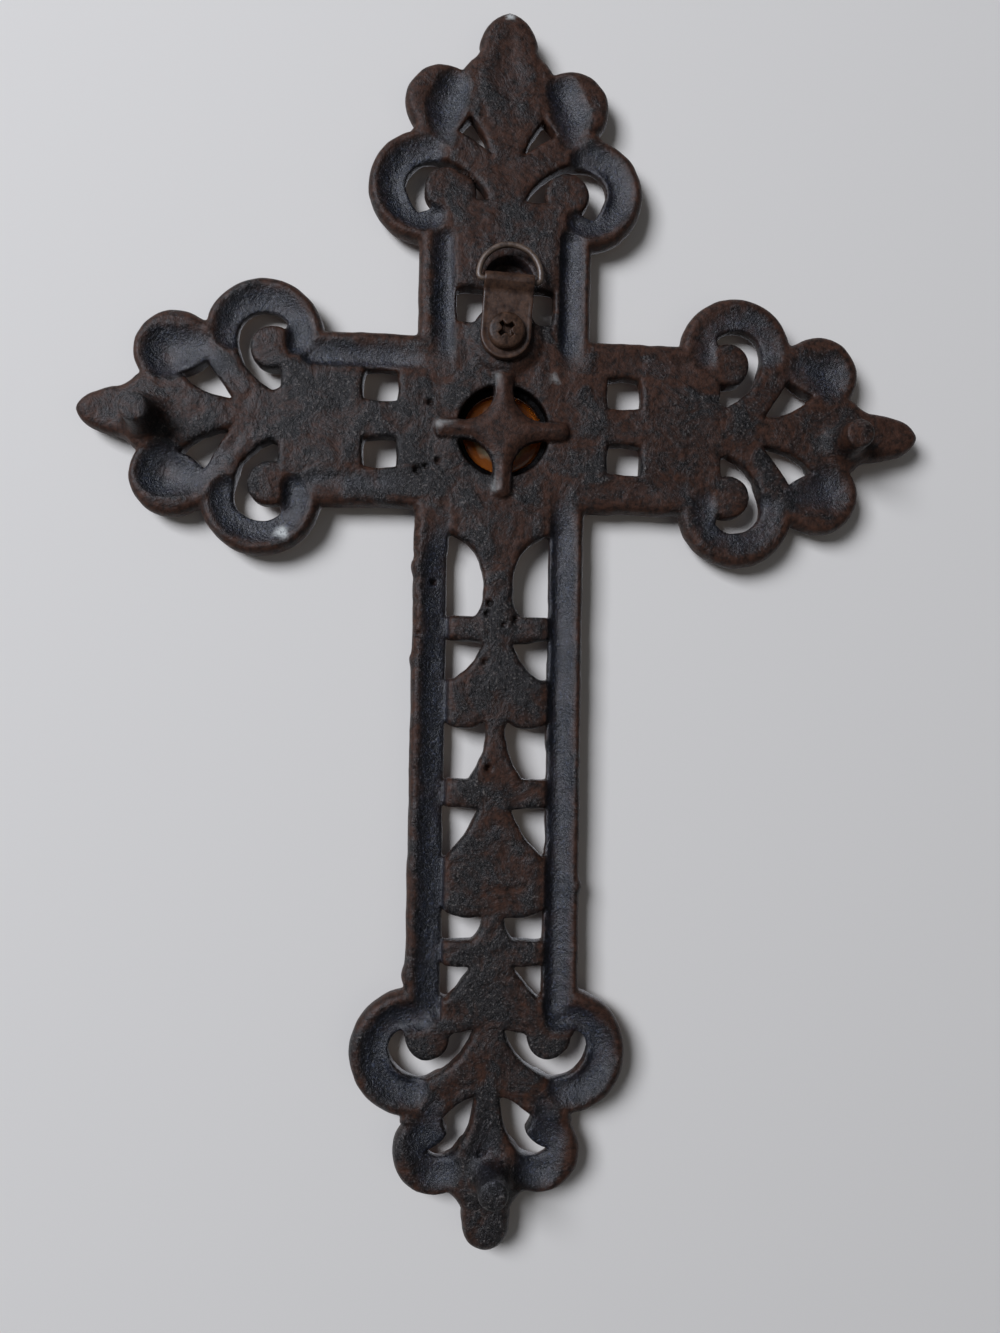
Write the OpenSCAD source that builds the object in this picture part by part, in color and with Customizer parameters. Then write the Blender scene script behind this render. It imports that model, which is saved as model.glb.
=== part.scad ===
// Hanging cast iron cross with a glass stone, seen and drawn from its back.
// The pieces are drawn lying down: u to the right, v up the shaft, w out of the back.
// stand_up() turns them into the part's own frame: +Z up, +Y to the wall, with the
// origin where a nail bears inside the top of the hanging ring.

/* [Arms and shaft] */
// Half width of the top arm and of the two side arms
arm_half = 21.7; // [18:0.1:27]
// Half width of the shaft
shaft_half = 21; // [18:0.1:25.5]
// Height of the side arms' centre line above the star's centre
arm_axis_v = 2.2; // [-1:0.1:3]
// Sideways place of the shaft's centre line
shaft_axis_u = -0.5; // [-1.5:0.1:1.5]
// Sideways place of the foot's centre line
foot_axis_u = -1.1; // [-2:0.1:1]
// Distance from the star to the top end's big lobes
top_reach = 62.3; // [51:0.1:74]
// Distance from the star to the side ends' big lobes
side_reach = 59.3; // [49:0.5:72]
// Distance from the star to the foot's big lobes
foot_reach = 152; // [126:0.5:182]

/* [Ends] */
// Radius of the top end's big lobes, which sizes the rest of that end
top_lobe_r = 14.5; // [13:0.1:17.5]
// Radius of the side ends' big lobes, which sizes the rest of those ends
side_lobe_r = 14.5; // [13:0.1:17.5]
// Radius of the foot's big lobes, which sizes the rest of the foot
foot_lobe_r = 14.9; // [13:0.1:17.9]

/* [Casting] */
// Thickness of the plate behind the front mouldings
plate_t = 5.5; // [4.5:0.1:7]
// How far the front edge stands out past the back rim, as draft
draft = 0.5; // [0.3:0.1:2]
// Height of the moulding round the front edge
bead_h = 2.2; // [1:0.1:3]
// Width of the moulding round the front edge
bead_w = 6.6; // [5:0.1:8]
// Width of the flat rim round the back
rim_w = 2.2; // [1.5:0.1:3]
// Width of the half round gutters inside the rim
gutter_w = 4.8; // [3.5:0.1:5.5]
// Width of the ridge between a gutter and the fretwork
ridge_w = 1.4; // [1:0.1:2.5]

/* [Pegs] */
// How far the standoff pegs reach past the back rim
peg_h = 9; // [7:0.1:12]
// Radius of a peg at its flat end
peg_r = 3.5; // [2.5:0.1:4.5]
// Extra radius of a peg at its root
peg_taper = 0.5; // [0:0.1:1]
// Distance of the side pegs past the side ends' big lobes
side_peg_out = 28; // [16:0.1:32]
// Distance of the foot's peg past the foot's big lobes
foot_peg_out = 29; // [20:0.1:34]

/* [Star and glass] */
// Radius of the round recess that the star bridges
recess_r = 11.6; // [10:0.1:13.5]
// Depth of that recess
recess_depth = 3; // [2:0.1:3.5]
// Length of a star point from the middle
star_reach = 16.4; // [14:0.1:19]
// Width of a star point at its tip
star_tip_w = 4.6; // [3:0.1:5]
// Distance from the middle at which the star points start to spread
star_neck = 11; // [9:0.1:12]
// How far the star stands out of the back
star_proud = 1.3; // [0.5:0.1:2]
// Thickness of the star
star_t = 3.4; // [2:0.1:3.8]
// Radius of the glass stone
glass_r = 10.5; // [8.5:0.1:11.4]
// Gap round the glass stone in its seat
glass_gap = 0.15; // [0.1:0.05:0.3]
// Width of the ledge behind the glass stone
ledge_w = 0.9; // [0.6:0.1:1.5]
// Thickness of that ledge
ledge_t = 1.5; // [1:0.1:2]
// Height of the glass stone's straight edge
glass_edge = 2; // [1:0.1:3]
// Height of the glass stone's dome
glass_dome = 4; // [2:0.1:5]
// Width of the bezel round the glass stone
bezel_w = 4; // [3:0.1:5]

/* [Hanger] */
// Sideways and upward place of the hanger's screw
screw_at = [0.1, 23.7]; // [0:0.1:40]
// Clockwise turn of the strap, as it was screwed on
strap_turn = 3; // [0:0.5:5]
// Width of the strap
strap_w = 12.6; // [10.5:0.1:14]
// Thickness of the strap's sheet
sheet_t = 0.9; // [0.7:0.1:1.1]
// Distance from the screw to the ring's bar
strap_reach = 13; // [11.5:0.1:15]
// Gap between the strap's two folded layers
fold_gap = 0.2; // [0.1:0.05:0.3]
// Wire diameter of the ring
wire_d = 1.5; // [1.2:0.1:2]
// Gap round the ring's bar inside the fold
bar_gap = 0.2; // [0.1:0.05:0.3]
// Gap between the strap's edges and the ring's sides
ring_gap = 0.6; // [0.2:0.05:0.8]
// Height of the ring's straight sides below its bow
ring_drop = 1.4; // [1.2:0.1:3]
// Radius of the screw's pan head
head_r = 4.7; // [3.6:0.1:5]
// Height of the screw's pan head
head_h = 2.3; // [1.8:0.1:2.6]
// Radius of the screw's shank
shank_r = 1.7; // [1.4:0.1:2]
// Gap round the shank in the casting
shank_gap = 0.05; // [0.02:0.01:0.1]
// Length of the shank below the strap
shank_len = 4.2; // [3:0.1:4.5]
// Width of the cross recess in the screw's head
driver_w = 4.2; // [3.4:0.1:5]
// Height of the round boss below the strap
boss_h = 0.8; // [0.4:0.1:1.5]
// Radius of that boss
boss_r = 8; // [7:0.1:9]

/* [Hidden] */
$fn = 96;
bite = 0.01;           // how far joined solids reach into each other
arc_step = 15;         // degrees of a bowed side between its points
lobe_inset = [1.5, 1.7, 2.5];   // big lobes' centres inside the edges of top arm, side arms, shaft
top_hole_up = 1.2;     // the top arm's openings stand this much further out than the side arms'
dish_depth = 2.4;      // dished pocket in each small lobe
dish_rim = 3.2;        // width of the small lobe's rim round its pocket
lobe_gutter = [0.4, -10, 150];  // a big lobe's gutter: set outwards by, first degree, degrees long
peg_fillet = 2;        // height and reach of the fillet at a peg's root
nail_recess_depth = 3.2;        // recess behind the hanging ring, where the nail's end goes
shank_end_gap = 0.3;   // room past the screw's end
strap_hole_gap = 0.3;  // gap round the shank in the strap
strap_end_drop = 0.4;  // the strap's round end is struck from this far below the screw
joggle = [4.2, 3.4, 1.3];       // where the upper layer starts to rise, bends and meets the fold
ring_bend = 1;         // bend radius at the ring's corners
star_bow = [0.5, -3.1];  // bow of a star point's end, and of the hollow side between two points
side_tip_more = [1.1, -1.5];    // how much longer than drawn the right and the left tip are
gutter_past = 2;       // how far a straight gutter runs on beside a big lobe
side_peg_at = side_reach + side_peg_out;
foot_peg_at = foot_reach + foot_peg_out;
front_w = -plate_t;
crest_w = front_w - bead_h;
gutter_inset = rim_w + gutter_w / 2;
bore_r = wire_d / 2 + bar_gap;
fold_r = bore_r + sheet_t;
layer_top = 2 * sheet_t + fold_gap;
ring_inner_r = strap_w / 2 + ring_gap;
open_half = shaft_half - rim_w - gutter_w - ridge_w;

// The patterns below are lists drawn at these sizes, and are stretched from them
DRAWN_SHAFT = [12.6, 151.5];   // [half width over the openings, foot_reach]
DRAWN_ARM_OPEN = 13.5;         // half width over the arms' openings and ridges
shaft_k = [open_half / DRAWN_SHAFT[0], foot_reach / DRAWN_SHAFT[1]];
arm_open_k = [1, (arm_half - rim_w - gutter_w - ridge_w) / DRAWN_ARM_OPEN];

// Every outline below is a list of corners [x, y, bow], round anticlockwise: the side
// after a corner bows out by that many millimetres as a true arc, 0 being straight.
function bowed_side(a, b, bow) =
    let (d = b - a, chord = norm(d), e = d / chord, out = [e[1], -e[0]])
    abs(bow) < 0.01 ? [a] :
    let (r = (chord * chord / 4 + bow * bow) / (2 * bow),
         half = 2 * atan(2 * bow / chord),
         n = max(2, ceil(abs(half) * 2 / arc_step)))
    [for (i = [0 : n - 1])
        let (q = -half + 2 * half * i / n)
        (a + b) / 2 + out * (bow - r) + r * (out * cos(q) + e * sin(q))];
function xy(p) = [p[0], p[1]];
function bowed_points(c) =
    [for (i = [0 : len(c) - 1])
        each bowed_side(xy(c[i]), xy(c[(i + 1) % len(c)]), c[i][2])];
function stretched(c, k) = [for (p = c) [p[0] * k[0], p[1] * k[1], p[2] * min(k[0], k[1])]];
// A half outline from the tip back, closed by its mirror image below the axis
function both_sides(c) =
    let (n = len(c) - 1)
    concat(c, [for (i = [n : -1 : 1]) [c[i][0], -c[i][1], c[i - 1][2]]]);

// Radius of the ball whose cap is h high over a circle of radius r
function dome_radius(r, h) = (r * r + h * h) / (2 * h);

module bowed(c) { polygon(bowed_points(c)); }
module pair() { children(); mirror([0, 1]) children(); }

// One flowered end, drawn along +x with its big lobes' centres at x = 0:
// [big lobe radius, its distance off the axis, small lobe [x, y, radius],
//  spine from the tip back, leaf opening, scroll opening]
TOP_END = [14.5, 20.2, [22.3, 16.4, 9.5],
    [[46.2, 0, 1.4], [39.5, 7.0, 0.2], [36.8, 7.3, -0.5], [33.3, 9.9, 0], [31.4, 11.2, 0],
     [22.3, 16.4, 0], [14.3, 24.3, 0], [0, 20.2, 0], [-12, 15, 0]],
    [[8.5, 4, 0.5], [18.3, 9.2, 0.2], [14.1, 12.2, -0.3]],
    [[-3.2, 4.8, 2.0], [7, 17.6, 2.2], [0, 25.5, 0.6], [-6.4, 22.4, 0.2], [-5.3, 18.9, -8.9],
     [-3.2, 10, 0]]];
SIDE_END = [14.5, 20.4, [21.7, 15.75, 10],
    [[46.2, 0, 0.9], [41.4, 4.8, 0.3], [34.7, 6.3, -0.4], [31.1, 8.9, 0], [21.7, 15.75, 0],
     [15.7, 23.8, 0], [0, 20.4, 0], [-12, 15, 0]],
    [[7.1, 3.7, 1.3], [19.9, 10, -0.4], [13.8, 13.7, 0]],
    [[-2.3, 6.5, 1.9], [6.7, 18.3, 2.7], [-0.5, 26.6, 0.6], [-5.1, 24.2, 0], [-4.7, 22.3, -7.6],
     [-4, 12, 0], [-4.3, 7.3, 0.2]]];
FOOT_END = [14.9, 18.5, [23.5, 12.7, 9.8],
    [[46.5, 0, 1.6], [40.8, 5.5, 0.2], [37, 5.7, -0.5], [32.7, 9.3, 0], [33.1, 12.5, 0],
     [23.5, 12.7, 0], [16.5, 20.8, 0], [0, 18.5, 0], [-13, 15, 0]],
    [[10.2, 3, 1.4], [24.1, 8.2, 1.2], [23.4, 14.6, -0.9], [19, 9.5, 0.2], [15.5, 10.9, 0.8]],
    [[-5.5, 3.6, 2.0], [6.2, 15, 2.3], [-1, 24.3, 0.8], [-5, 21, 0], [-3.7, 20, -5.3],
     [-3.7, 9.4, 0.4], [-4.7, 7, 0]]];

// The same end at its own size: the list above with every length stretched
function sized(e, lobe_r, off) =
    let (k = [lobe_r / e[0], off / e[1]])
    [lobe_r, off, [e[2][0] * k[0], e[2][1] * k[1], e[2][2] * k[0]],
     stretched(e[3], k), stretched(e[4], k), stretched(e[5], k)];

// The same end with its tip standing out further
function tipped(e, more) =
    [for (i = [0 : len(e) - 1]) i != 3 ? e[i]
        : [for (j = [0 : len(e[3]) - 1]) e[3][j] + [j < 2 ? more : 0, 0, 0]]];
top_end = sized(TOP_END, top_lobe_r, arm_half - lobe_inset[0]);
side_end = sized(SIDE_END, side_lobe_r, arm_half - lobe_inset[1]);
right_end = tipped(side_end, side_tip_more[0]);
left_end = tipped(side_end, side_tip_more[1]);
foot_end = sized(FOOT_END, foot_lobe_r, shaft_half - lobe_inset[2]);

// The four ends: [end, distance out, turn, place of its axis]
ENDS = [
    [top_end, top_reach, 90, [0, 0]],
    [right_end, side_reach, 0, [0, arm_axis_v]],
    [left_end, side_reach, 180, [0, arm_axis_v]],
    [foot_end, foot_reach, -90, [foot_axis_u, 0]]];
module at_end(e) { translate(e[3]) rotate(e[2]) translate([e[1], 0]) children(); }

// Openings of the shaft right of its centre line, [t, v, bow], from the top down
SHAFT_OPENINGS = [
    [[5.7, -46.3, 0], [12.6, -46.1, 0], [12.6, -26.6, 0.2], [11.8, -25.9, 3], [3.7, -40, 0.8]],
    [[12.5, -61.8, 0], [12.6, -52, 0], [3.9, -52.9, 0.1], [3.9, -53.8, 0.7], [10.3, -61.7, 0]],
    [[6.6, -86.3, 0], [12.6, -86.3, 0], [12.5, -72.6, -1.5], [2.9, -72.3, 0.2], [2.3, -75.5, 0.8]],
    [[12.6, -104.8, 0], [12.6, -93.2, 0.1], [4, -93.5, 0.1], [4.1, -94.3, 0.7], [11.8, -105.4, 0]],
    [[5, -125.1, 0], [12.2, -125.3, 0], [12.3, -118, -0.9], [2.8, -119.6, 0.1], [2.8, -121, 0.5]],
    [[12.4, -138.4, 0], [12.4, -131.2, 0], [5.4, -131.6, 0.2], [6.2, -133.5, 0.3], [11, -139, 0]]];
// The square openings of the arms, [distance out, off the axis, bow]
ARM_OPENING = [[26.5, 4.8, 0.3], [34.6, 5.2, 0.4], [34.4, 12.4, 0.3], [26.4, 12.2, 0.3]];

module end_outline(end, grow) {
    small = end[2];
    pair() {
        translate([0, end[1]]) circle(r = end[0] + grow);
        translate(xy(small)) circle(r = small[2] + grow);
    }
    spine = end[3];
    grown = [for (i = [0 : len(spine) - 1])
        spine[i] + (i == 0 ? [grow, 0, 0] : [grow / 3, grow, 0])];
    bowed(both_sides(grown));
}

module arms_outline(grow) {
    translate([-arm_half - grow, 0])
        square([2 * (arm_half + grow), top_reach]);
    translate([-side_reach, arm_axis_v - arm_half - grow])
        square([2 * side_reach, 2 * (arm_half + grow)]);
    translate([shaft_axis_u - shaft_half - grow, -foot_reach])
        square([2 * (shaft_half + grow), foot_reach]);
}

module cross_outline(grow) {
    arms_outline(grow);
    for (e = ENDS) at_end(e) end_outline(e[0], grow);
}

// Inside edge of the moulding round the front, past which the face stands lower
module front_field() {
    arms_outline(-bead_w);
    for (e = ENDS) at_end(e) {
        end = e[0];
        small = end[2];
        bowed(both_sides([[small[0] + 2, 0, 0.5], [small[0] - 4, small[1] / 2, 0.5],
                          [-2, end[1] * 0.6, 0], [-end[0], end[1] * 0.6, 0]]));
        pair() translate([0, end[1]]) circle(r = end[0] - bead_w);
    }
}

module openings() {
    for (e = ENDS) at_end(e) pair() {
        bowed(e[0][4]);
        bowed(e[0][5]);
    }
    for (c = SHAFT_OPENINGS) translate([shaft_axis_u, 0]) {
        right = stretched(c, shaft_k);
        bowed(right);
        mirror([1, 0]) bowed(right);
    }
    arm_hole = stretched(ARM_OPENING, arm_open_k);
    translate([0, arm_axis_v]) for (turn = [0, 180]) rotate(turn) pair() bowed(arm_hole);
    translate([0, top_hole_up]) rotate(90) pair() bowed(arm_hole);
}

// A half round gutter along +x from its two ends
module straight_gutter(from, to, off) {
    pair() translate([from, off, 0]) rotate([0, 90, 0]) cylinder(r = gutter_w / 2, h = to - from);
}

module gutters() {
    off = arm_half - gutter_inset;
    shaft_off = shaft_half - gutter_inset;
    start = arm_half + 1;
    rotate(90) straight_gutter(start, top_reach - top_lobe_r + gutter_past, off);
    translate([0, arm_axis_v, 0]) for (turn = [0, 180])
        rotate(turn) straight_gutter(start, side_reach - side_lobe_r + gutter_past, off);
    translate([shaft_axis_u, 0, 0]) rotate(-90)
        straight_gutter(start, foot_reach - foot_lobe_r + gutter_past, shaft_off);
    for (e = ENDS) at_end(e) {
        end = e[0];
        small = end[2];
        dish_r = small[2] - dish_rim;
        ball_r = dome_radius(dish_r, dish_depth);
        pair() {
            translate([0, end[1], 0]) rotate(lobe_gutter[1])
                rotate_extrude(angle = lobe_gutter[2])
                    translate([end[0] - gutter_inset - lobe_gutter[0], 0])
                        circle(r = gutter_w / 2);
            translate([small[0], small[1], ball_r - dish_depth]) sphere(r = ball_r);
        }
    }
}

module peg() {
    root_r = peg_r + peg_taper;
    translate([0, 0, -1]) cylinder(r1 = root_r, r2 = peg_r, h = peg_h + 1);
    translate([0, 0, -1]) cylinder(r1 = root_r + peg_fillet, r2 = peg_r + bite, h = peg_fillet + 2);
}

module star_shape() {
    h = star_tip_w / 2;
    bowed([for (turn = [0 : 90 : 270])
        let (e = [cos(turn), sin(turn)], across = h * [-sin(turn), cos(turn)])
        each [[each (star_neck * e - across * 1.1), 0], [each (star_reach * e - across), star_bow[0]],
              [each (star_reach * e + across), 0], [each (star_neck * e + across * 1.1), star_bow[1]]]]);
}

// One iron casting: plate, openings, gutters, front mouldings, pegs and star
module cross_body() {
    glass_seat_r = glass_r + glass_gap;
    seat_w = -recess_depth - ledge_t;
    difference() {
        union() {
            translate([0, 0, front_w]) linear_extrude(plate_t) difference() {
                cross_outline(0);
                openings();
            }
            translate([0, 0, crest_w]) linear_extrude(bead_h + plate_t / 2) difference() {
                cross_outline(draft);
                front_field();
                openings();
            }
            translate([0, 0, crest_w - 1]) cylinder(r = glass_r + bezel_w, h = bead_h + 1 + bite);
            translate([screw_at[0], screw_at[1], -bite]) cylinder(r = boss_r, h = boss_h + bite);
            for (s = [-1, 1]) translate([s * side_peg_at, 0, 0]) peg();
            translate([0, -foot_peg_at, 0]) peg();
        }
        gutters();
        translate([0, 0, -recess_depth]) cylinder(r = recess_r, h = recess_depth + 1);
        translate([0, 0, seat_w - 1]) cylinder(r = glass_r - ledge_w, h = ledge_t + 2);
        translate([0, 0, crest_w - 2]) cylinder(r = glass_seat_r, h = seat_w - crest_w + 2);
        on_strap() {
            translate([0, 0, -shank_len - shank_end_gap])
                cylinder(r = shank_r + shank_gap, h = shank_len + 2);
            translate([0, 0, -boss_h - nail_recess_depth])
                linear_extrude(nail_recess_depth + boss_h + 2) intersection() {
                    translate([0, strap_reach + ring_drop]) circle(r = ring_inner_r);
                    translate([-strap_w, strap_reach]) square([2 * strap_w, strap_w]);
                }
        }
    }
    translate([0, 0, star_proud - star_t]) linear_extrude(star_t) star_shape();
}

// The strap's own axes: screw at the origin, ring along +y, casting's boss below
module on_strap() {
    translate([screw_at[0], screw_at[1], boss_h]) rotate(-strap_turn) children();
}

// Side view of the folded sheet, [y, z]: lower layer, upper layer, joggle and fold
module strap_section() {
    difference() {
        union() {
            translate([strap_reach, fold_r]) circle(r = fold_r);
            translate([-strap_w, 0]) square([strap_w + strap_reach, sheet_t]);
            translate([-strap_w, sheet_t + fold_gap])
                square([strap_w + strap_reach - joggle[0] + bite, sheet_t]);
            translate([strap_reach, 0])
                polygon([[-joggle[0], sheet_t + fold_gap], [-joggle[1], sheet_t + fold_gap],
                         [-joggle[2], fold_r], [0, 2 * fold_r - sheet_t],
                         [0, 2 * fold_r - bite], [-joggle[2], 2 * fold_r - sheet_t / 2],
                         [-joggle[1], layer_top + fold_gap], [-joggle[0], layer_top]]);
        }
        translate([strap_reach, fold_r]) circle(r = bore_r);
    }
}

module strap() {
    on_strap() difference() {
        intersection() {
            translate([-strap_w / 2, 0, 0]) rotate([90, 0, 90])
                linear_extrude(strap_w) strap_section();
            translate([0, 0, -1]) linear_extrude(2 * fold_r + 2) {
                translate([0, -strap_end_drop]) circle(r = strap_w / 2);
                translate([-strap_w, -strap_end_drop]) square([2 * strap_w, strap_reach + 2 * fold_r]);
            }
        }
        translate([0, 0, -1]) cylinder(r = shank_r + strap_hole_gap, h = layer_top + 2);
    }
}

module ring() {
    wire_r = wire_d / 2;
    ring_r = ring_inner_r + wire_r;
    bar_half = ring_r - ring_bend;
    on_strap() translate([0, strap_reach, fold_r]) {
        translate([-bar_half, 0, 0]) rotate([0, 90, 0]) cylinder(r = wire_r, h = 2 * bar_half);
        translate([0, ring_drop, 0]) rotate_extrude(angle = 180) translate([ring_r, 0])
            circle(r = wire_r);
        for (s = [0, 1]) mirror([s, 0, 0]) {
            translate([bar_half, ring_bend, 0]) rotate(-90)
                rotate_extrude(angle = 90) translate([ring_bend, 0]) circle(r = wire_r);
            translate([ring_r, ring_bend, 0]) rotate([-90, 0, 0])
                cylinder(r = wire_r, h = ring_drop - ring_bend);
        }
    }
}

module screw() {
    shoulder = head_h * 0.4;
    dome_r = dome_radius(head_r, head_h - shoulder);
    blade_w = 0.9;
    driver_depth = 1.5;
    on_strap() translate([0, 0, layer_top]) difference() {
        union() {
            cylinder(r = head_r, h = shoulder);
            intersection() {
                translate([0, 0, shoulder - bite]) cylinder(r = head_r, h = head_h);
                translate([0, 0, head_h - dome_r]) sphere(r = dome_r);
            }
            translate([0, 0, -layer_top - shank_len])
                cylinder(r = shank_r, h = shank_len + layer_top + bite);
        }
        for (turn = [45, 135]) rotate(turn)
            translate([-driver_w / 2, -blade_w / 2, head_h - driver_depth])
                cube([driver_w, blade_w, 2 * driver_depth]);
        translate([0, 0, head_h - driver_depth])
            cylinder(r1 = blade_w / 2, r2 = driver_w / 3, h = driver_depth + bite);
    }
}

module glass() {
    back_w = -recess_depth - ledge_t;
    dome_r = dome_radius(glass_r, glass_dome);
    translate([0, 0, back_w - glass_edge]) cylinder(r = glass_r, h = glass_edge);
    intersection() {
        translate([0, 0, back_w - glass_edge - glass_dome])
            cylinder(r = glass_r, h = glass_dome + bite);
        translate([0, 0, back_w - glass_edge - glass_dome + dome_r]) sphere(r = dome_r);
    }
}

// The nail bears at the top of the ring's inside, in the ring's own plane
nail_uv = screw_at + (strap_reach + ring_drop) * [sin(strap_turn), cos(strap_turn)]
    + [0, ring_inner_r];
nail_w = boss_h + fold_r;
module stand_up() {
    translate([nail_uv[0], -nail_w, -nail_uv[1]]) rotate([90, 0, 180]) children();
}

module cross_casting() { color([0.22, 0.16, 0.14]) stand_up() cross_body(); }
module glass_stone() { color([0.85, 0.45, 0.1, 0.6]) stand_up() glass(); }
module hanger_strap() { color([0.3, 0.2, 0.15]) stand_up() strap(); }
module hanger_ring() { color([0.36, 0.25, 0.2]) stand_up() ring(); }
module hanger_screw() { color([0.32, 0.22, 0.17]) stand_up() screw(); }

cross_casting();
glass_stone();
hanger_strap();
hanger_ring();
hanger_screw();
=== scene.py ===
"""A cast iron wall cross with a glass stone and a wire hanger, seen from its back.

Sizes are millimetres in the maker's own axes: u to the right and v up the shaft as the back
is looked at, from the middle of the star, and w out of the back from the casting's rim.
"""
import math

import bpy
import numpy as np
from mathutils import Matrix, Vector


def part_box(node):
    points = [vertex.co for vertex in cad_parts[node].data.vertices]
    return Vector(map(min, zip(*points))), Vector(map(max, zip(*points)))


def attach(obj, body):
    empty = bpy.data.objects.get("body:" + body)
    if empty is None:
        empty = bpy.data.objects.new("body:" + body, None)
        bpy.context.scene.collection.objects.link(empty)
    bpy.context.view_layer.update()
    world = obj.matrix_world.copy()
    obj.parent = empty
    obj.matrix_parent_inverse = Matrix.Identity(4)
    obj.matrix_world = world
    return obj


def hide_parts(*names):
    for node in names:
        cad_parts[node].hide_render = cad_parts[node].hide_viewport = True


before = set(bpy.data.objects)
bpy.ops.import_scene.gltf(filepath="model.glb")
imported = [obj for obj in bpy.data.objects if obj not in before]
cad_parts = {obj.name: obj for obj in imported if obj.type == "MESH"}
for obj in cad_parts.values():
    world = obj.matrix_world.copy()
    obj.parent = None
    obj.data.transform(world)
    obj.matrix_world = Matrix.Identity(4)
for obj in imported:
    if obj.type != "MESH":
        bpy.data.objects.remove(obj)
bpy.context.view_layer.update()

# ------------------------------------------------------------------ camera, light and stage
# The cross lies face down on a pale board and is looked at square on from close by, by the
# light of one big window on its left. The board lets the view and the lamps through from
# below, so that the front can be looked at too.
STONE_BACK = -4.5                     # w of the stone's flat back, which the frame gives in metres
stone_low, stone_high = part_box("glass_stone")
star_x = (stone_low.x + stone_high.x) / 2
star_z = (stone_low.z + stone_high.z) / 2
rim_y = stone_high.y - STONE_BACK / 1000


def to_row(points):
    """Points (u, v, w) in millimetres as points of the row frame in metres."""
    p = np.asarray(points, float) / 1000
    return np.stack([star_x - p[..., 0], rim_y + p[..., 2], star_z + p[..., 1]], -1)


def paint(code):
    """An sRGB hex colour as linear red, green, blue and alpha."""
    parts = [int(code[i:i + 2], 16) / 255 for i in (1, 3, 5)]
    return [c / 12.92 if c < 0.04045 else ((c + 0.055) / 1.055) ** 2.4 for c in parts] + [1.0]


def add(tree, kind, inputs=None, **settings):
    """Adds a node; inputs gives a value, or another node's output, for each socket."""
    made = tree.nodes.new(kind)
    for name, value in settings.items():
        setattr(made, name, value)
    for key, value in (inputs or {}).items():
        if isinstance(value, bpy.types.NodeSocket):
            tree.links.new(value, made.inputs[key])
        else:
            made.inputs[key].default_value = value
    return made


def new_material(name):
    """An empty node material and its output node."""
    made = bpy.data.materials.new(name)
    made.use_nodes = True
    made.node_tree.nodes.clear()
    return made, made.node_tree, made.node_tree.nodes.new("ShaderNodeOutputMaterial")


CAMERA_AT = [-16.51, -71.43, 243.68]
CAMERA_TURN = (92.993, -0.934, 176.046)
camera = bpy.data.objects.new("camera", bpy.data.cameras.new("camera"))
camera.data.sensor_width = 36
camera.data.lens = 36 * 1000 / 1333   # the view is as wide as it is far, over the frame's short side
camera.location = to_row(CAMERA_AT)
camera.rotation_euler = [math.radians(a) for a in CAMERA_TURN]
camera.data.clip_start = 0.01
bpy.context.scene.collection.objects.link(camera)
bpy.context.scene.camera = camera

LAMPS_AIM = [0, -45, 0]
LAMPS = [  # name, where it stands [u, v, w], width, height, power, colour
    ["window", [-1150, 620, 1450], 900, 900, 45.0, "#eef3ff"],
    ["room_fill", [900, -600, 1500], 1400, 1400, 1.4, "#fff1df"],
    ["front_window", [450, 350, -1400], 900, 900, 18.0, "#eef3ff"],
]
for name, stand, wide, high, power, colour in LAMPS:
    lamp = bpy.data.objects.new(name, bpy.data.lights.new(name, "AREA"))
    lamp.data.shape = "RECTANGLE"
    lamp.data.size = wide / 1000
    lamp.data.size_y = high / 1000
    lamp.data.energy = power
    lamp.data.color = paint(colour)[:3]
    lamp.location = to_row(stand)
    aim = Vector(to_row(LAMPS_AIM)) - lamp.location
    lamp.rotation_euler = aim.to_track_quat("-Z", "Y").to_euler()
    bpy.context.scene.collection.objects.link(lamp)

ROOM_GLOW = 0.08
world = bpy.data.worlds.new("room")
world.use_nodes = True
world.node_tree.nodes["Background"].inputs["Color"].default_value = paint("#dce5f5")
world.node_tree.nodes["Background"].inputs["Strength"].default_value = ROOM_GLOW
bpy.context.scene.world = world
bpy.context.scene.view_settings.view_transform = "Standard"

BOARD_W = -8.0               # the stone's dome presses a little way into it
BOARD_HALF = 1500
board_mesh = bpy.data.meshes.new("board")
board_mesh.from_pydata([tuple(to_row([x * BOARD_HALF, y * BOARD_HALF, BOARD_W])) for x, y in
                        ((-1, -1), (1, -1), (1, 1), (-1, 1))], [], [(0, 1, 2, 3)])
board = bpy.data.objects.new("board", board_mesh)
bpy.context.scene.collection.objects.link(board)
# Pale matt paint with no shine, on the upper face only: from below the board is clear
board_paint, tree, out = new_material("pale_board")
matt = add(tree, "ShaderNodeBsdfDiffuse", {"Color": paint("#dedad3")})
clear = add(tree, "ShaderNodeBsdfTransparent")
path = add(tree, "ShaderNodeLightPath")
facing = add(tree, "ShaderNodeNewGeometry")
open_way = add(tree, "ShaderNodeMath", {0: path.outputs["Is Shadow Ray"],
                                        1: facing.outputs["Backfacing"]}, operation="MAXIMUM")
mixed = add(tree, "ShaderNodeMixShader", {0: open_way.outputs[0], 1: matt.outputs[0],
                                          2: clear.outputs[0]})
tree.links.new(mixed.outputs[0], out.inputs["Surface"])
board_mesh.materials.append(board_paint)

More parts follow.
